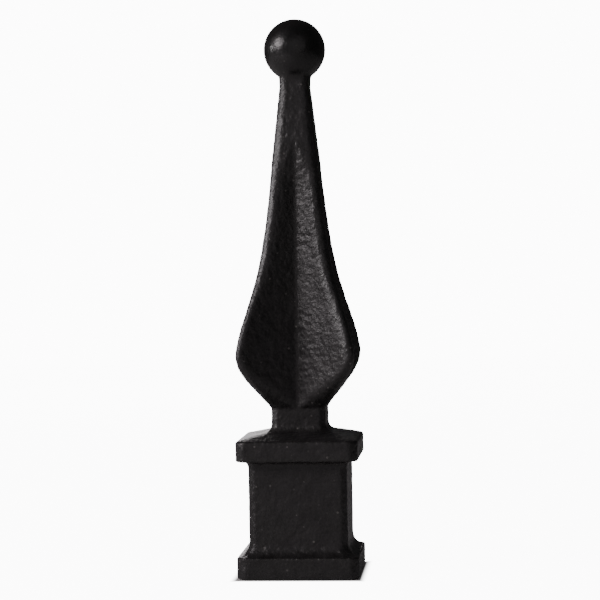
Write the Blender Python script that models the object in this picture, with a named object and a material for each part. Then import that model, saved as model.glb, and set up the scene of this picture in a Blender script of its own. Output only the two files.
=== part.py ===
# Fence spear point: one iron casting with a square socket, a four-winged blade and a ball tip.
# Metres, +Z up. The origin is the middle of the underside, and a flat face of the collar looks along -Y.

import math

import bmesh
import bpy
from mathutils import Matrix, Vector

# Socket for the end of a 3/4 inch square picket
PICKET_WIDTH = 0.01905
PICKET_GAP = 0.00045
SOCKET_DEPTH = 0.0320
SOCKET_WALL = 0.0029

# Collar: a foot band with a cove above it, a plain wall, a top band and a sloped shoulder
BAND_PROJECTION = 0.0030
FOOT_BAND_HEIGHT = 0.0057
COVE_HEIGHT = 0.0035
COVE_LEDGE_RISE = 0.0006
WALL_HEIGHT = 0.0211
TOP_BAND_HEIGHT = 0.0054
SHOULDER_HEIGHT = 0.0021
BAND_CORNER = 0.0021
WALL_CORNER = 0.0016

# Rounds and fillets along the collar's level edges
BAND_EDGE_ROUND = 0.0005
UNDER_BAND_FILLET = 0.0018
NECK_FILLET = 0.0020

# Square neck between the collar and the blade
NECK_WIDTH = 0.0143
NECK_HEIGHT = 0.0057
NECK_CORNER = 0.0016

# Blade: four wings on the diagonals, each with a blunt edge, and a valley down each face between them
BLADE_WIDTH = 0.0314
BLADE_HEIGHT = 0.0837
WIDEST_HEIGHT = 0.0144
TAPER_WIDTH = 0.0232
FLARE_REACH = 0.0170
WING_EDGE = 0.0017
UNDERCUT_EASE = 1.15

# Valleys: their floors lean inward as they rise, and they fade out below the ball's neck
VALLEY_ROOT = 0.0016
VALLEY_HOLLOW = 0.12
VALLEY_LEAN = 0.044
VALLEY_FADE_FROM = 0.0570
VALLEY_FADE_TO = 0.0735
POINT_REACH = 0.0006

# Ball and the narrow neck that carries it
BALL_DIAMETER = 0.0162
BALL_NECK_WIDTH = 0.0079
BALL_NECK_HEIGHT = 0.0031
BALL_NECK_FLARE = 0.0004

# Facets
CORNER_STEPS = 3
VALLEY_STEPS = 4
FLANK_STEPS = 2
LAND_SHARE = 0.93
ROUND_STEPS = 2
COVE_STEPS = 5
UNDERCUT_LEVELS = 8
BLADE_LEVELS = 24
BLADE_LEVEL_CROWDING = 1.2
BALL_SEGMENTS = 32
BALL_RINGS = 18

# Half widths and heights that follow from the sizes above
SOCKET_HALF = PICKET_WIDTH / 2 + PICKET_GAP
WALL_HALF = SOCKET_HALF + SOCKET_WALL
BAND_HALF = WALL_HALF + BAND_PROJECTION
NECK_HALF = NECK_WIDTH / 2
BALL_NECK_HALF = BALL_NECK_WIDTH / 2
BALL_RADIUS = BALL_DIAMETER / 2
COVE_TOP = FOOT_BAND_HEIGHT + COVE_HEIGHT
WALL_TOP = COVE_TOP + WALL_HEIGHT
BAND_TOP = WALL_TOP + TOP_BAND_HEIGHT
NECK_FOOT = BAND_TOP + SHOULDER_HEIGHT
BLADE_FOOT = NECK_FOOT + NECK_HEIGHT
BLADE_TOP = BLADE_FOOT + BLADE_HEIGHT
BALL_FOOT = BLADE_TOP + BALL_NECK_HEIGHT
BALL_CENTRE = BALL_FOOT + math.sqrt(BALL_RADIUS**2 - BALL_NECK_HALF**2)


def clear_scene():
    for thing in list(bpy.data.objects):
        bpy.data.objects.remove(thing)


def new_collection(name):
    collection = bpy.data.collections.new(name)
    bpy.context.scene.collection.children.link(collection)
    return collection


def new_object(name, mesh, collection):
    thing = bpy.data.objects.new(name, mesh)
    collection.objects.link(thing)
    return thing


def painted_iron():
    material = bpy.data.materials.new("casting")
    material.use_nodes = True
    shader = material.node_tree.nodes["Principled BSDF"]
    shader.inputs["Base Color"].default_value = (0.030, 0.030, 0.031, 1)
    shader.inputs["Metallic"].default_value = 0.0
    shader.inputs["Roughness"].default_value = 0.5
    return material


def mix(low, high, share):
    return low + (high - low) * share


def rounded(before, corner, after, radius, steps):
    """Points on the arc that rounds one corner of a profile, kept short of half of either side."""
    inward = (before - corner).normalized()
    outward = (after - corner).normalized()
    half_angle = inward.angle(outward) / 2
    room = min((before - corner).length, (after - corner).length) / 2
    reach = min(radius / math.tan(half_angle), room)
    start = corner + inward * reach
    end = corner + outward * reach
    points = []
    for step in range(steps + 1):
        share = step / steps
        through = start.lerp(corner, share).lerp(corner.lerp(end, share), share)
        points.append(through)
    return points


def flank_depth(across, edge, root, slope):
    """How far a valley's side lies behind the face, a little hollow between its edge and its root."""
    hollow = VALLEY_HOLLOW * slope * (edge - across) * (across - root) / (edge - root)
    return slope * (edge - across) + hollow


def outline(half, valley, corner, reach):
    """One level's points, counterclockwise: a square with blunt corners and a valley down each face.

    half is the square's half width, valley is how far the middle of a face lies behind it, corner is
    how far from its tip a corner starts to turn, and reach is the half width of the valley, past which
    the face is flat."""
    edge = half - corner
    reach = min(reach, edge)
    root = min(VALLEY_ROOT, reach) / 2
    slope = valley / (reach - root / 2)
    crease = min(reach, mix(root, edge, LAND_SHARE))
    start = Vector((-half, -edge))
    tip = Vector((-half, -half))
    end = Vector((-edge, -half))
    face = [start] + rounded(start * 2 - tip, tip, end * 2 - tip, corner, CORNER_STEPS)[1:]
    for step in range(FLANK_STEPS):
        across = mix(-crease, -root, step / FLANK_STEPS)
        face.append(Vector((across, flank_depth(-across, reach, root, slope) - half)))
    for step in range(VALLEY_STEPS + 1):
        across = mix(-root, root, step / VALLEY_STEPS)
        face.append(Vector((across, valley - slope * across**2 / (2 * root) - half)))
    for step in range(1, FLANK_STEPS + 1):
        across = mix(root, crease, step / FLANK_STEPS)
        face.append(Vector((across, flank_depth(across, reach, root, slope) - half)))
    points = []
    for quarter in range(4):
        spin = Matrix.Rotation(math.radians(90 * quarter), 2)
        points += [spin @ point for point in face]
    return points


def collar_levels():
    """Heights, half widths, corners and flat faces of the collar and the neck, from the underside up."""
    foot = Vector((BAND_HALF, 0))
    foot_arris = Vector((BAND_HALF, FOOT_BAND_HEIGHT))
    cove_root = Vector((WALL_HALF, FOOT_BAND_HEIGHT + COVE_LEDGE_RISE))
    cove_top = Vector((WALL_HALF, COVE_TOP))
    under_band = Vector((WALL_HALF, WALL_TOP))
    band_foot = Vector((BAND_HALF, WALL_TOP))
    band_arris = Vector((BAND_HALF, BAND_TOP))
    neck_foot = Vector((NECK_HALF, NECK_FOOT))
    neck_top = Vector((NECK_HALF, BLADE_FOOT))
    cove = []
    for step in range(COVE_STEPS + 1):
        share = step / COVE_STEPS
        cove.append(foot_arris.lerp(cove_root, share).lerp(cove_root.lerp(cove_top, share), share))

    profile = [foot - Vector((BAND_EDGE_ROUND, 0)), foot + Vector((0, BAND_EDGE_ROUND))]
    profile += cove
    profile += rounded(cove_top, under_band, band_foot, UNDER_BAND_FILLET, ROUND_STEPS + 1)
    profile += rounded(under_band, band_foot, band_arris, BAND_EDGE_ROUND, ROUND_STEPS)
    profile += rounded(band_foot, band_arris, neck_foot, BAND_EDGE_ROUND, ROUND_STEPS)
    profile += rounded(band_arris, neck_foot, neck_top, NECK_FILLET, ROUND_STEPS + 2)
    levels = []
    for half, height in profile:
        if half > WALL_HALF:
            corner = mix(WALL_CORNER, BAND_CORNER, (half - WALL_HALF) / BAND_PROJECTION)
        elif height < WALL_TOP:
            corner = WALL_CORNER
        else:
            corner = mix(NECK_CORNER, WALL_CORNER, (half - NECK_HALF) / (WALL_HALF - NECK_HALF))
        levels.append((height, half, 0, corner, half))
    return levels


def valley_depth(half, above_foot):
    """How far a valley's floor lies behind the face, from the blade's foot up."""
    floor = NECK_HALF - VALLEY_LEAN * above_foot
    share = (above_foot - VALLEY_FADE_FROM) / (VALLEY_FADE_TO - VALLEY_FADE_FROM)
    share = min(1, max(0, share))
    fade = 1 - share * share * (3 - 2 * share)
    return max(0, half - floor) * fade


def blade_levels():
    """Heights, half widths, valley depths, corners and valley reaches, from the blade's foot up.

    Above its widest level the wings narrow in a straight taper with a bell-shaped flare at its lower
    end, and the valleys take up the whole of a face. Below it the blade is undercut in one curve by
    flat faces, which cut the valleys off in a point just above the neck."""
    widest = BLADE_WIDTH / 2
    taper_foot = TAPER_WIDTH / 2
    rise = BLADE_HEIGHT - WIDEST_HEIGHT
    widest_valley = valley_depth(widest, WIDEST_HEIGHT)
    widest_edge = widest - WING_EDGE
    shape = []
    for step in range(UNDERCUT_LEVELS):
        share = step / UNDERCUT_LEVELS
        swell = math.sin(math.pi / 2 * share**UNDERCUT_EASE)
        shape.append((share * WIDEST_HEIGHT, mix(NECK_HALF, widest, swell)))
    for step in range(BLADE_LEVELS + 1):
        share = (step / BLADE_LEVELS) ** BLADE_LEVEL_CROWDING
        taper = mix(taper_foot, BALL_NECK_HALF, share)
        flare = (widest - taper_foot) * math.exp(-((share * rise / FLARE_REACH) ** 2))
        shape.append((WIDEST_HEIGHT + share * rise, taper + flare))
    levels = []
    for above_foot, half in shape:
        valley = valley_depth(half, above_foot)
        reach = half
        if above_foot < WIDEST_HEIGHT:
            reach = mix(POINT_REACH, widest_edge, valley / widest_valley)
        levels.append((BLADE_FOOT + above_foot, half, valley, min(WING_EDGE, half / 2), reach))
    return levels


def ball_neck_levels():
    """The narrow neck, a little wider where it meets the ball, and run on to the ball's middle."""
    corner = min(WING_EDGE, BALL_NECK_HALF / 2)
    wide = BALL_NECK_HALF + BALL_NECK_FLARE
    return [
        (mix(BLADE_TOP, BALL_FOOT, 0.6), BALL_NECK_HALF, 0, corner, BALL_NECK_HALF),
        (BALL_FOOT, wide, 0, corner, wide),
        (BALL_CENTRE, wide, 0, corner, wide),
    ]


def lofted(name, levels):
    """Skin a closed body over the levels' outlines."""
    mesh = bpy.data.meshes.new(name)
    body = bmesh.new()
    rings = []
    for height, half, valley, corner, reach in levels:
        rings.append([body.verts.new((x, y, height)) for x, y in outline(half, valley, corner, reach)])
    for low, high in zip(rings, rings[1:]):
        for here in range(len(low)):
            after = (here + 1) % len(low)
            body.faces.new((low[here], low[after], high[after], high[here]))
    body.faces.new(reversed(rings[0]))
    body.faces.new(rings[-1])
    bmesh.ops.triangulate(body, faces=[face for face in body.faces if len(face.verts) > 4])
    body.to_mesh(mesh)
    body.free()
    return mesh


def ball_mesh():
    mesh = bpy.data.meshes.new("ball")
    body = bmesh.new()
    bmesh.ops.create_uvsphere(body, u_segments=BALL_SEGMENTS, v_segments=BALL_RINGS, radius=BALL_RADIUS)
    bmesh.ops.translate(body, verts=body.verts, vec=(0, 0, BALL_CENTRE))
    body.to_mesh(mesh)
    body.free()
    return mesh


def socket_mesh():
    """The picket's end, which leaves its hole in the collar; it also sticks out below the foot."""
    overrun = SOCKET_WALL
    mesh = bpy.data.meshes.new("socket")
    body = bmesh.new()
    bmesh.ops.create_cube(body, size=1)
    bmesh.ops.scale(body, verts=body.verts, vec=(SOCKET_HALF * 2, SOCKET_HALF * 2, SOCKET_DEPTH + overrun))
    bmesh.ops.translate(body, verts=body.verts, vec=(0, 0, (SOCKET_DEPTH - overrun) / 2))
    body.to_mesh(mesh)
    body.free()
    return mesh


def combine(thing, other, operation):
    modifier = thing.modifiers.new(other.name, "BOOLEAN")
    modifier.operation = operation
    modifier.solver = "EXACT"
    modifier.object = other
    other.hide_render = True
    other.display_type = "WIRE"


clear_scene()
part = new_collection("fence_spear_point")
helpers = new_collection("shaping_helpers")

levels = collar_levels() + blade_levels() + ball_neck_levels()
casting = new_object("spear_point", lofted("spear_point", levels), part)
casting.data.materials.append(painted_iron())
combine(casting, new_object("ball", ball_mesh(), helpers), "UNION")
combine(casting, new_object("socket", socket_mesh(), helpers), "DIFFERENCE")
casting.data.shade_smooth()
casting.data.set_sharp_from_angle(angle=math.radians(28))
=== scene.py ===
import math

import bmesh
import bpy
from mathutils import Matrix, Vector, noise


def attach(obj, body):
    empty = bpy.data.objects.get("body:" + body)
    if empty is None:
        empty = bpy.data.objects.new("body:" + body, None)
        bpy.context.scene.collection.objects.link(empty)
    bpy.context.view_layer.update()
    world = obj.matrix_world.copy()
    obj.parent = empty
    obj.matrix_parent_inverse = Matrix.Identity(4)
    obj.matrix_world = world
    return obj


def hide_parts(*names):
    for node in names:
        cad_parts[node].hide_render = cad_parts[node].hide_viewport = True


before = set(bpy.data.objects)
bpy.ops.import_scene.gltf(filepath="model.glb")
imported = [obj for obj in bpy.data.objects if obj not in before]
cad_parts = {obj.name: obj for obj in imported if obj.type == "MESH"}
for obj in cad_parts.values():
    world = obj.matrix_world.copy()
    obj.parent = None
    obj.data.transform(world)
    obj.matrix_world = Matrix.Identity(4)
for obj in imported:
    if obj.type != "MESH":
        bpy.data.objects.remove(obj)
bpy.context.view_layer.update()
print("frame loaded")

mm = 0.001


def mix(low, high, share):
    return low + (high - low) * share


def eased(before, corner, after, reach, steps):
    # the points that round one corner of a profile, reach away from it on either side
    start = corner + (before - corner).normalized() * reach
    end = corner + (after - corner).normalized() * reach
    shares = [step / steps for step in range(steps + 1)]
    return [start.lerp(corner, share).lerp(corner.lerp(end, share), share) for share in shares]


def filledIn(points, spacing):
    # the same profile with extra points along its long stretches
    filled = [points[0]]
    for after in points[1:]:
        before = filled[-1]
        count = max(1, math.ceil((after - before).length / spacing))
        filled += [before.lerp(after, step / count) for step in range(1, count + 1)]
    return filled


# Collar, in millimetres: half widths, and heights above the underside
collar = {
    "socketHalf": 9.975,
    "socketDepth": 32.0,
    "mouthFlare": 0.3,        # how far the socket's mouth opens out at the rim, and over what height
    "mouthHeight": 0.4,
    "wallHalf": 12.875,
    "bandHalf": 15.875,
    "footBand": 5.7,
    "coveLedge": 6.3,
    "coveTop": 9.2,
    "wallTop": 30.3,
    "bandTop": 35.7,
    "neckFoot": 37.8,
    "neckHalf": 7.15,
    "edgeRound": 0.75,
    "footArrisRound": 0.45,
    "underFillet": 1.9,
    "neckFillet": 1.9,
    "socketCorner": (0.4, 0.15),   # blunt corner's leg, and how far its edges are eased
    "bandCorner": (1.9, 0.8),
    "wallCorner": (1.5, 0.65),
    "neckCorner": (1.5, 0.6),
    "spacing": 0.46,          # between the levels of the mesh, outside, in the socket and on the rim
    "socketSpacing": 2.5,
    "rimSpacing": 1.1,
}

# Blade, in millimetres: heights are above its own foot
blade = {
    "foot": 43.5,             # above the underside of the collar
    "height": 83.7,
    "widest": 15.82,
    "widestAt": 14.4,
    "taperFoot": 11.72,
    "flareReach": 17.0,
    "undercutEase": 1.15,
    "topHalf": 4.05,
    "wingEdge": (1.65, 1.1),  # as the collar's corners
    "legShare": 0.33,         # the most of the half width that a blunt corner takes
    "easeShare": 0.68,        # the most of a blunt corner's leg that is eased
    "root": 0.8,              # half width of a valley's rounded floor
    "rootShare": 0.25,
    "hollow": 0.12,
    "lean": 0.044,            # how far the valleys' floors come inward for each millimetre up
    "side": 0.63,             # slope of the valleys' sides, where a flat margin is left beside them
    "fadeFrom": 57.5,         # where the valleys start to fade out, and where they end
    "fadeTo": 71.5,
    "crease": (0.7, 1.8),     # how far a valley's edge is softened at the wings, and at most
    "creaseGain": 0.5,        # how much softer it gets for each millimetre that it ends short of them
    "spacing": 0.5,           # between the levels of the mesh, and below the flare
    "undercutSpacing": 0.4,
    "undercutReach": 4.0,     # how far above the widest level the closer levels go
}

# Ball, in millimetres
ball = {
    "radius": 8.1,
    "centre": 137.371,
    "fillet": 1.0,
    "neckRows": 5,
    "filletRows": 5,
    "rows": 50,
}

noValley = (0, 99)            # a level's valley depth, and a reach that nothing limits


def collarCorner(half, height):
    # leg and ease of the blunt corners at one level of the collar
    if half > collar["wallHalf"]:
        share = (half - collar["wallHalf"]) / (collar["bandHalf"] - collar["wallHalf"])
        low, high = collar["wallCorner"], collar["bandCorner"]
    elif height < collar["wallTop"] + 1:
        share, low, high = 0, collar["wallCorner"], collar["wallCorner"]
    else:
        share = (half - collar["neckHalf"]) / (collar["wallHalf"] - collar["neckHalf"])
        low, high = collar["neckCorner"], collar["wallCorner"]
    return mix(low[0], high[0], share), mix(low[1], high[1], share)


def collarRows():
    # levels from the middle of the socket's roof, down its wall, over the rim and up to the neck
    c = collar
    rows = []
    for step in range(5):
        rows.append((c["socketHalf"] * step / 5, c["socketDepth"], *noValley, *c["socketCorner"]))
    roofEdge = Vector((c["socketHalf"], c["socketDepth"]))
    wallFoot = Vector((c["socketHalf"], c["mouthHeight"]))
    for point in filledIn([roofEdge, wallFoot], c["socketSpacing"]):
        rows.append((point.x, point.y, *noValley, *c["socketCorner"]))
    mouth = c["socketHalf"] + c["mouthFlare"]
    rim = [Vector((mouth, 0)), Vector((c["bandHalf"] - c["edgeRound"], 0))]
    for point in filledIn(rim, c["rimSpacing"]):
        share = (point.x - mouth) / (c["bandHalf"] - mouth)
        corner = [mix(a, b, share) for a, b in zip(c["socketCorner"], c["bandCorner"])]
        rows.append((point.x, 0, *noValley, *corner))

    foot = Vector((c["bandHalf"], 0))
    footArris = Vector((c["bandHalf"], c["footBand"]))
    ledge = Vector((c["wallHalf"], c["coveLedge"]))
    coveTop = Vector((c["wallHalf"], c["coveTop"]))
    underBand = Vector((c["wallHalf"], c["wallTop"]))
    bandFoot = Vector((c["bandHalf"], c["wallTop"]))
    bandArris = Vector((c["bandHalf"], c["bandTop"]))
    neckFoot = Vector((c["neckHalf"], c["neckFoot"]))
    neckTop = Vector((c["neckHalf"], blade["foot"]))
    shares = [step / 12 for step in range(13)]
    cove = [footArris.lerp(ledge, s).lerp(ledge.lerp(coveTop, s), s) for s in shares]
    profile = eased(foot - Vector((1, 0)), foot, footArris, c["edgeRound"], 3)
    profile += eased(foot, footArris, cove[3], c["footArrisRound"], 3)
    profile += cove[1:]
    profile += eased(coveTop, underBand, bandFoot, c["underFillet"], 7)
    profile += eased(underBand, bandFoot, bandArris, c["edgeRound"], 4)
    profile += eased(bandFoot, bandArris, neckFoot, c["edgeRound"], 4)
    profile += eased(bandArris, neckFoot, neckTop, c["neckFillet"], 7)
    profile += [neckTop]
    for point in filledIn(profile, c["spacing"]):
        rows.append((point.x, point.y, *noValley, *collarCorner(point.x, point.y)))
    return rows


def wingHalf(height):
    # the blade's half width: undercut below its widest level, then a taper with a bell-shaped flare
    b = blade
    up = height - b["foot"]
    if up <= 0:
        return collar["neckHalf"]
    if up < b["widestAt"]:
        swell = math.sin(math.pi / 2 * (up / b["widestAt"]) ** b["undercutEase"])
        return mix(collar["neckHalf"], b["widest"], swell)
    above = up - b["widestAt"]
    taper = mix(b["taperFoot"], b["topHalf"], above / (b["height"] - b["widestAt"]))
    return taper + (b["widest"] - b["taperFoot"]) * math.exp(-((above / b["flareReach"]) ** 2))


def valleyDepth(half, up):
    # how far a valley's floor lies behind its face, up above the blade's foot
    floor = collar["neckHalf"] - blade["lean"] * up
    share = min(1, max(0, (up - blade["fadeFrom"]) / (blade["fadeTo"] - blade["fadeFrom"])))
    return max(0, half - floor) * (1 - share * share * (3 - 2 * share))


def bladeRows():
    b = blade
    widestValley = valleyDepth(b["widest"], b["widestAt"])
    widestEdge = b["widest"] - b["wingEdge"][0]
    rows = []
    up = b["undercutSpacing"]
    while up < b["height"] + 0.01:
        half = wingHalf(b["foot"] + up)
        valley = valleyDepth(half, up)
        share = min(1, up / b["widestAt"] * 2)     # the neck's corners become the wings' edges
        corner = [mix(a, e, share) for a, e in zip(collar["neckCorner"], b["wingEdge"])]
        if up >= b["widestAt"]:
            reach = b["root"] / 2 + valley / b["side"]
        else:
            # below the widest level the undercut is flat, and cuts the valleys off in a point
            reach = mix(b["root"] / 2, widestEdge, valley / widestValley)
        rows.append((half, b["foot"] + up, valley, reach, *corner))
        up += b["undercutSpacing"] if up < b["widestAt"] + b["undercutReach"] else b["spacing"]
    return rows


# How the 60 columns of one face are shared out, from the middle of one blunt corner to the next
columns = {"corner": 3, "ease": 4, "flank": 17, "root": 12}


def faceSection(half, valley, reach, leg, ease):
    # one level of the face that looks along -Y, from corner middle to corner middle
    leg = min(leg, half * blade["legShare"])
    ease = min(ease, leg * blade["easeShare"])
    edge = half - leg
    reach = min(reach, edge)
    root = min(blade["root"], half * blade["rootShare"], reach)
    slope = valley / (reach - root / 2) if valley > 0 else 0

    def depth(across):
        if slope == 0:
            return 0
        if across <= root:
            return valley - slope * across * across / (2 * root)
        hollow = blade["hollow"] * slope * (reach - across) * (across - root) / max(reach - root, 0.01)
        deep = slope * (reach - across) + max(hollow, 0)
        # the valley's side runs over into the flat without a sharp edge
        atWings, most = blade["crease"]
        soft = min(most, atWings + blade["creaseGain"] * (edge - reach), valley)
        return deep if deep > soft else max(0, deep + soft) ** 2 / (4 * soft)

    cornerMiddle = Vector((half - leg / 2, -half + leg / 2))
    tip = Vector((edge, -half))
    flankEnd = Vector((edge - ease, -half + depth(edge - ease)))
    landEnd = tip + (cornerMiddle - tip).normalized() * ease if half > 0 else tip
    side = []
    for step in range(columns["root"] // 2):
        across = root * step / (columns["root"] // 2)
        side.append(Vector((across, -half + depth(across))))
    for step in range(columns["flank"]):
        across = mix(root, edge - ease, step / columns["flank"])
        side.append(Vector((across, -half + depth(across))))
    for step in range(columns["ease"]):
        share = step / columns["ease"]
        side.append(flankEnd.lerp(tip, share).lerp(tip.lerp(landEnd, share), share))
    for step in range(columns["corner"]):
        side.append(landEnd.lerp(cornerMiddle, step / columns["corner"]))
    side.append(cornerMiddle)
    mirrored = [Vector((-point.x, point.y)) for point in reversed(side[1:])]
    return mirrored + side[:-1]


def wholeSection(half, height, valley, reach, leg, ease):
    face = faceSection(half, valley, reach, leg, ease)
    points = []
    for quarter in range(4):
        spin = Matrix.Rotation(math.radians(90 * quarter), 2)
        points += [(spin @ point).to_3d() + Vector((0, 0, height)) for point in face]
    return points


def ballRows():
    # the narrow neck, the fillet and the ball, worked out along each column so that they meet smoothly
    neck = wholeSection(blade["topHalf"], 0, *noValley, *blade["wingEdge"])
    foot = blade["foot"] + blade["height"]
    neckSteps, filletSteps = ball["neckRows"], ball["filletRows"]
    paths = []
    for point in neck:
        out = point.to_2d().normalized()
        reach = point.to_2d().length
        turn = math.asin(reach / ball["radius"])
        meet = ball["centre"] - ball["radius"] * math.cos(turn)
        neckTop = meet - ball["fillet"]
        path = [(reach, mix(foot, neckTop, step / neckSteps)) for step in range(1, neckSteps + 1)]
        leave = turn + ball["fillet"] / ball["radius"]
        start = Vector((reach, neckTop))
        corner = Vector((reach, meet))
        end = Vector((ball["radius"] * math.sin(leave), ball["centre"] - ball["radius"] * math.cos(leave)))
        for step in range(1, filletSteps + 1):
            share = step / filletSteps
            path.append(start.lerp(corner, share).lerp(corner.lerp(end, share), share))
        for step in range(1, ball["rows"] + 1):
            angle = mix(leave, math.pi, step / ball["rows"])
            path.append((ball["radius"] * math.sin(angle), ball["centre"] - ball["radius"] * math.cos(angle)))
        paths.append([Vector((out.x * away, out.y * away, height)) for away, height in path])
    return [list(row) for row in zip(*paths)]


# Sand-cast surface, in millimetres: how large each kind of unevenness is, and how high it stands.
# The rest says how much of it each region keeps.
sand = {
    "lumps": (3.2, 0.060),
    "grain": (1.0, 0.075),
    "fine": (0.6, 0.065),
    "sunk": 0.3,              # how much of the height lies behind the surface
    "onCollar": 0.75,
    "onBall": 0.07,
    "inSocket": 0.3,
    "margin": 0.2,            # how far round the socket its share holds
    "ballFrom": 0.8,          # how far below the ball its own share begins, and over what height
    "ballBlend": 2.5,
}


def sandHeight(place):
    total = 0
    for shift, key in enumerate(("lumps", "grain", "fine")):
        size, height = sand[key]
        elsewhere = Vector((7.3 * shift, 1.7, 4.1 * shift))     # so that the kinds don't line up
        total += (noise.noise(place / size + elsewhere) - sand["sunk"]) * height
    return total


def roughness(place):
    # how much of the sand's unevenness a place keeps
    narrow = max(abs(place.x), abs(place.y)) < collar["socketHalf"] + sand["margin"]
    if narrow and place.z < collar["socketDepth"] + sand["margin"]:
        return sand["inSocket"]
    ballFoot = ball["centre"] - ball["radius"]
    upBall = (place.z - (ballFoot - sand["ballFrom"])) / sand["ballBlend"]
    upBlade = (place.z - collar["neckFoot"]) / (blade["foot"] - collar["neckFoot"])
    share = mix(sand["onCollar"], 1, min(1, max(0, upBlade)))
    return mix(share, sand["onBall"], min(1, max(0, upBall)))


def castPiece(name):
    rows = [wholeSection(*row) for row in collarRows() + bladeRows()] + ballRows()
    around = len(rows[0])
    up = len(rows) - 1
    print("casting: %d rows of %d points" % (up + 1, around))
    bm = bmesh.new()
    bmesh.ops.create_grid(bm, x_segments=around, y_segments=up, size=0.5)
    for vert in bm.verts:
        column = round((vert.co.x + 0.5) * around) % around
        vert.co = rows[round((vert.co.y + 0.5) * up)][column]
    bmesh.ops.remove_doubles(bm, verts=bm.verts, dist=1e-4)
    bmesh.ops.recalc_face_normals(bm, faces=bm.faces)
    bm.normal_update()
    for vert in bm.verts:
        if vert.co.z > 1e-3:
            vert.co += vert.normal * sandHeight(vert.co) * roughness(vert.co)
    # the foot stands flat, and no grain stands proud of the bands or the ball
    half, top = collar["bandHalf"], ball["centre"] + ball["radius"]
    lowest, highest = (-half, -half, 0), (half, half, top)
    for vert in bm.verts:
        vert.co = [min(high, max(low, at)) for low, high, at in zip(lowest, highest, vert.co)]
    bmesh.ops.scale(bm, verts=bm.verts, vec=(mm, mm, mm))
    mesh = bpy.data.meshes.new(name)
    bm.to_mesh(mesh)
    bm.free()
    mesh.shade_smooth()
    piece = bpy.data.objects.new(name, mesh)
    bpy.context.scene.collection.objects.link(piece)
    return piece


# Satin black paint, with sizes in metres
paint = {
    "colour": (0.0190, 0.0180, 0.0182),
    "blotchScale": 260,       # pale and dark, and glossy and dull, go together in blotches
    "blotchDark": 0.75,
    "blotchPale": 1.35,
    "blotchRough": 0.16,      # how much roughness differs from blotch to blotch
    "toneOnBall": 0.45,       # how dark the ball is beside the rest
    "roughOnSand": 0.42,
    "roughOnBall": 0.30,
    "ballFrom": -0.0003,      # heights above the ball's foot between which the finish becomes the ball's
    "ballTo": 0.0022,
    # pale dots in the paint's colour: partly dust, partly painted glints from pits in the casting
    "dustAndGlintColour": (0.12, 0.115, 0.11, 1),
    "dustAndGlintSpacing": 0.0021,
    "dustAndGlintSize": 0.00034,
    "dustAndGlintShare": (0.45, 0.9), # out of 1: below the first no dot, above the second a full one
    "grainSize": 0.00080,
    "grainHeight": 0.00042,
    "grainOnBall": 0.35,
}


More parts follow.
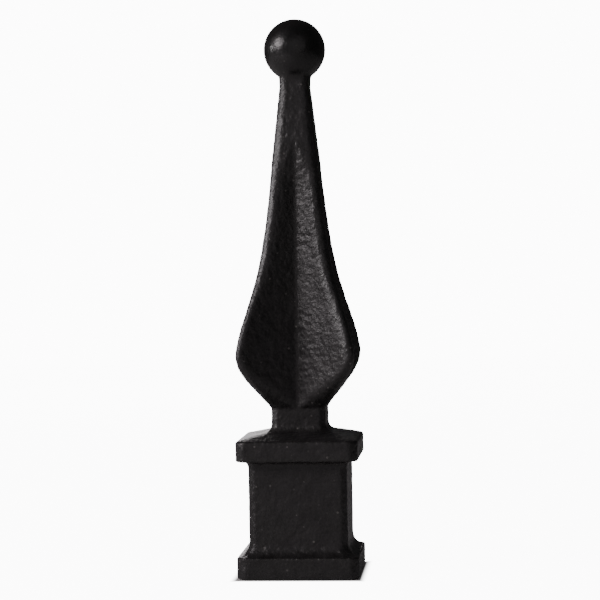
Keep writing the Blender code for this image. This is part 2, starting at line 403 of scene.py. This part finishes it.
def paintedIron():
    material = bpy.data.materials.new("paintedIron")
    material.use_nodes = True
    nodes = material.node_tree.nodes
    links = material.node_tree.links
    shader = nodes["Principled BSDF"]
    shader.inputs["IOR"].default_value = 1.5

    place = nodes.new("ShaderNodeTexCoord")
    split = nodes.new("ShaderNodeSeparateXYZ")
    links.new(place.outputs["Object"], split.inputs[0])
    ballFoot = (ball["centre"] - ball["radius"]) * mm
    onBall = nodes.new("ShaderNodeMapRange")
    onBall.inputs["From Min"].default_value = ballFoot + paint["ballFrom"]
    onBall.inputs["From Max"].default_value = ballFoot + paint["ballTo"]
    links.new(split.outputs["Z"], onBall.inputs["Value"])

    grain = nodes.new("ShaderNodeTexNoise")
    grain.inputs["Scale"].default_value = 0.5 / paint["grainSize"]
    grain.inputs["Detail"].default_value = 3
    grain.inputs["Roughness"].default_value = 0.6
    links.new(place.outputs["Object"], grain.inputs["Vector"])

    blotches = nodes.new("ShaderNodeTexNoise")
    blotches.inputs["Scale"].default_value = paint["blotchScale"]
    blotches.inputs["Detail"].default_value = 2
    links.new(place.outputs["Object"], blotches.inputs["Vector"])

    gloss = nodes.new("ShaderNodeMapRange")
    gloss.inputs["To Min"].default_value = paint["roughOnSand"]
    gloss.inputs["To Max"].default_value = paint["roughOnBall"]
    links.new(onBall.outputs["Result"], gloss.inputs["Value"])
    uneven = nodes.new("ShaderNodeMath")
    uneven.operation = "MULTIPLY_ADD"
    uneven.inputs[1].default_value = paint["blotchRough"]
    uneven.inputs[2].default_value = -paint["blotchRough"] / 2
    links.new(blotches.outputs["Fac"], uneven.inputs[0])
    roughSum = nodes.new("ShaderNodeMath")
    roughSum.operation = "ADD"
    links.new(gloss.outputs["Result"], roughSum.inputs[0])
    links.new(uneven.outputs[0], roughSum.inputs[1])
    links.new(roughSum.outputs[0], shader.inputs["Roughness"])

    tone = nodes.new("ShaderNodeValToRGB")
    dark, pale = tone.color_ramp.elements
    dark.position = 0.3
    dark.color = [channel * paint["blotchDark"] for channel in paint["colour"]] + [1]
    pale.position = 0.75
    pale.color = [channel * paint["blotchPale"] for channel in paint["colour"]] + [1]
    links.new(blotches.outputs["Fac"], tone.inputs["Fac"])
    darker = nodes.new("ShaderNodeMapRange")
    darker.inputs["To Min"].default_value = 1
    darker.inputs["To Max"].default_value = paint["toneOnBall"]
    links.new(onBall.outputs["Result"], darker.inputs["Value"])
    shade = nodes.new("ShaderNodeVectorMath")
    shade.operation = "SCALE"
    links.new(tone.outputs["Color"], shade.inputs[0])
    links.new(darker.outputs["Result"], shade.inputs["Scale"])

    # a pale dot at the middle of some of the cells: partly dust specks, partly painted glints of light on
    # pits in the casting
    cells = nodes.new("ShaderNodeTexVoronoi")
    cells.inputs["Scale"].default_value = 1 / paint["dustAndGlintSpacing"]
    links.new(place.outputs["Object"], cells.inputs["Vector"])
    dotSize = paint["dustAndGlintSize"] / paint["dustAndGlintSpacing"]
    dot = nodes.new("ShaderNodeMapRange")
    dot.inputs["From Min"].default_value = dotSize
    dot.inputs["From Max"].default_value = dotSize * 0.6
    links.new(cells.outputs["Distance"], dot.inputs["Value"])
    chance = nodes.new("ShaderNodeSeparateColor")
    links.new(cells.outputs["Color"], chance.inputs[0])
    some = nodes.new("ShaderNodeMapRange")
    some.inputs["From Min"].default_value = paint["dustAndGlintShare"][0]
    some.inputs["From Max"].default_value = paint["dustAndGlintShare"][1]
    links.new(chance.outputs["Red"], some.inputs["Value"])
    links.new(darker.outputs["Result"], some.inputs["To Max"])
    dustAndGlintAmount = nodes.new("ShaderNodeMath")
    dustAndGlintAmount.operation = "MULTIPLY"
    links.new(dot.outputs["Result"], dustAndGlintAmount.inputs[0])
    links.new(some.outputs["Result"], dustAndGlintAmount.inputs[1])
    dustAndGlintMix = nodes.new("ShaderNodeMix")       # as a colour mix: 0 factor, 6 and 7 colours, 2 result
    dustAndGlintMix.data_type = "RGBA"
    dustAndGlintMix.inputs[7].default_value = paint["dustAndGlintColour"]
    links.new(dustAndGlintAmount.outputs[0], dustAndGlintMix.inputs[0])
    links.new(shade.outputs["Vector"], dustAndGlintMix.inputs[6])
    links.new(dustAndGlintMix.outputs[2], shader.inputs["Base Color"])

    bump = nodes.new("ShaderNodeBump")
    bump.inputs["Distance"].default_value = paint["grainHeight"]
    strength = nodes.new("ShaderNodeMapRange")
    strength.inputs["To Min"].default_value = 1
    strength.inputs["To Max"].default_value = paint["grainOnBall"]
    links.new(onBall.outputs["Result"], strength.inputs["Value"])
    links.new(strength.outputs["Result"], bump.inputs["Strength"])
    links.new(grain.outputs["Fac"], bump.inputs["Height"])
    links.new(bump.outputs["Normal"], shader.inputs["Normal"])
    return material


casting = castPiece("spearPointCasting")
casting.data.materials.append(paintedIron())
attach(casting, "root")
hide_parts("spear_point")
print("casting made: %d faces" % len(casting.data.polygons))

# Studio: a pale floor and a white backdrop that the camera sees bright, and that light the part faintly
studio = {
    "floorRadius": 1.2,
    "floorFade": (0.3, 0.95), # shares of its radius between which the floor fades out
    "floorColour": (0.75, 0.74, 0.74, 1),
    "floorGlow": 11.0,
    "floorBounce": 0.03,
    "contact": 0.002,         # how far out from the foot the floor's contact shadow reaches
    "backdrop": 12.0,
    "ambient": 0.04,
}

# Lights: each one's direction is to the camera's right, up and towards the camera, and it aims at a
# height on the part's axis
lights = {
    "keyDirection": (-0.842, 0.400, 0.360),
    "keyAim": 0.085,
    "keyDistance": 0.75,
    "keySize": 0.36,
    "keyPower": 3.55,
    "keyColour": (1.0, 0.93, 0.955),
    "rimDirection": (-0.98, 0.14, -0.07),
    "rimAim": 0.088,
    "rimDistance": 0.80,
    "rimSize": 0.06,
    "rimCone": 6.3,
    "rimBlend": 0.3,
    "rimPower": 13,
    "rimColour": (1.0, 0.97, 0.98),
    "fillDirection": (0.15, 0.22, 0.96),
    "fillAim": 0.072,
    "fillDistance": 1.6,
    "fillSize": 2.0,
    "fillPower": 3.1,
    "fillColour": (1.0, 0.92, 0.945),
    "backDirection": (-0.16, 0.16, -0.97),
    "backAim": 0.085,
    "backDistance": 0.80,
    "backSize": 0.22,
    "backPower": 0.8,
    "backColour": (1.0, 0.95, 0.96),
}

# Camera: angles in degrees, round the part from its front and up, places in metres
view = {
    "azimuth": 5.0,
    "elevation": 1.42,
    "distance": 0.5446,
    "roll": 0.93,
    "target": (0.0, 0.0, 0.0717),
    "sideways": 0.0004,
    "lens": 124.0,
}


def makeCamera():
    azimuth, elevation = math.radians(view["azimuth"]), math.radians(view["elevation"])
    level = Vector((math.sin(azimuth), -math.cos(azimuth), 0))
    away = level * math.cos(elevation) + Vector((0, 0, math.sin(elevation)))
    right = Vector((math.cos(azimuth), math.sin(azimuth), 0))
    up = away.cross(right)
    aim = Vector(view["target"]) + right * view["sideways"]
    turn = Matrix((right, up, away)).transposed().to_4x4()
    camera = bpy.data.objects.new("camera", bpy.data.cameras.new("camera"))
    bpy.context.scene.collection.objects.link(camera)
    camera.data.lens = view["lens"]
    camera.data.sensor_width = 36
    roll = Matrix.Rotation(math.radians(-view["roll"]), 4, "Z")
    camera.matrix_world = Matrix.Translation(aim + away * view["distance"]) @ turn @ roll
    bpy.context.scene.camera = camera
    return right, up, away


def placeLight(name, light, axes):
    right, up, away = axes
    direction = lights[name + "Direction"]
    towards = (right * direction[0] + up * direction[1] + away * direction[2]).normalized()
    light.energy = lights[name + "Power"]
    light.color = lights[name + "Colour"]
    lamp = bpy.data.objects.new(name, light)
    bpy.context.scene.collection.objects.link(lamp)
    place = Vector((0, 0, lights[name + "Aim"])) + towards * lights[name + "Distance"]
    lamp.matrix_world = Matrix.Translation(place) @ towards.to_track_quat("Z", "Y").to_matrix().to_4x4()


def softBox(name, axes):
    light = bpy.data.lights.new(name, "AREA")
    light.shape = "DISK"
    light.size = lights[name + "Size"]
    placeLight(name, light, axes)


def beam(name, axes):
    # a lamp behind a round mask, so that it lights the blade alone
    light = bpy.data.lights.new(name, "SPOT")
    light.shadow_soft_size = lights[name + "Size"] / 2
    light.spot_size = math.radians(lights[name + "Cone"])
    light.spot_blend = lights[name + "Blend"]
    placeLight(name, light, axes)


def makeFloor():
    bm = bmesh.new()
    bmesh.ops.create_circle(bm, cap_ends=True, segments=96, radius=studio["floorRadius"])
    mesh = bpy.data.meshes.new("floor")
    bm.to_mesh(mesh)
    bm.free()
    floor = bpy.data.objects.new("floor", mesh)
    bpy.context.scene.collection.objects.link(floor)
    material = bpy.data.materials.new("paleFloor")
    material.use_nodes = True
    nodes = material.node_tree.nodes
    links = material.node_tree.links
    shader = nodes["Principled BSDF"]
    shader.inputs["Base Color"].default_value = studio["floorColour"]
    shader.inputs["Roughness"].default_value = 0.9
    shader.inputs["Specular IOR Level"].default_value = 0.1
    place = nodes.new("ShaderNodeTexCoord")
    split = nodes.new("ShaderNodeSeparateXYZ")
    links.new(place.outputs["Object"], split.inputs[0])
    sides = []
    for axis in "XY":
        side = nodes.new("ShaderNodeMath")
        side.operation = "ABSOLUTE"
        links.new(split.outputs[axis], side.inputs[0])
        sides.append(side)
    fromMiddle = nodes.new("ShaderNodeMath")
    fromMiddle.operation = "MAXIMUM"
    links.new(sides[0].outputs[0], fromMiddle.inputs[0])
    links.new(sides[1].outputs[0], fromMiddle.inputs[1])
    contact = nodes.new("ShaderNodeMapRange")
    contact.interpolation_type = "SMOOTHSTEP"
    contact.inputs["From Min"].default_value = collar["bandHalf"] * mm
    contact.inputs["From Max"].default_value = collar["bandHalf"] * mm + studio["contact"]
    links.new(fromMiddle.outputs[0], contact.inputs["Value"])
    seen = nodes.new("ShaderNodeMath")
    seen.operation = "MULTIPLY"
    seen.inputs[1].default_value = studio["floorGlow"]
    links.new(contact.outputs["Result"], seen.inputs[0])

    # white to the camera, a faint bounce to everything else, and fading out before its rim
    ray = nodes.new("ShaderNodeLightPath")
    glow = nodes.new("ShaderNodeMapRange")
    glow.inputs["To Min"].default_value = studio["floorBounce"]
    links.new(ray.outputs["Is Camera Ray"], glow.inputs["Value"])
    links.new(seen.outputs[0], glow.inputs["To Max"])
    shader.inputs["Emission Color"].default_value = (1, 1, 1, 1)
    links.new(glow.outputs["Result"], shader.inputs["Emission Strength"])
    away = nodes.new("ShaderNodeVectorMath")
    away.operation = "LENGTH"
    links.new(place.outputs["Object"], away.inputs[0])
    fade = nodes.new("ShaderNodeMapRange")
    fade.inputs["From Min"].default_value = studio["floorRadius"] * studio["floorFade"][0]
    fade.inputs["From Max"].default_value = studio["floorRadius"] * studio["floorFade"][1]
    fade.inputs["To Min"].default_value = 1
    fade.inputs["To Max"].default_value = 0
    links.new(away.outputs["Value"], fade.inputs["Value"])
    links.new(fade.outputs["Result"], shader.inputs["Alpha"])
    mesh.materials.append(material)


def makeWorld():
    world = bpy.data.worlds.new("studio")
    bpy.context.scene.world = world
    world.use_nodes = True
    nodes = world.node_tree.nodes
    links = world.node_tree.links
    background = nodes["Background"]
    ray = nodes.new("ShaderNodeLightPath")
    strength = nodes.new("ShaderNodeMapRange")
    strength.inputs["To Min"].default_value = studio["ambient"]
    strength.inputs["To Max"].default_value = studio["backdrop"]
    links.new(ray.outputs["Is Camera Ray"], strength.inputs["Value"])
    background.inputs["Color"].default_value = (1, 1, 1, 1)
    links.new(strength.outputs["Result"], background.inputs["Strength"])


axes = makeCamera()
softBox("key", axes)
beam("rim", axes)
softBox("fill", axes)
softBox("back", axes)
makeFloor()
makeWorld()
print("studio set")
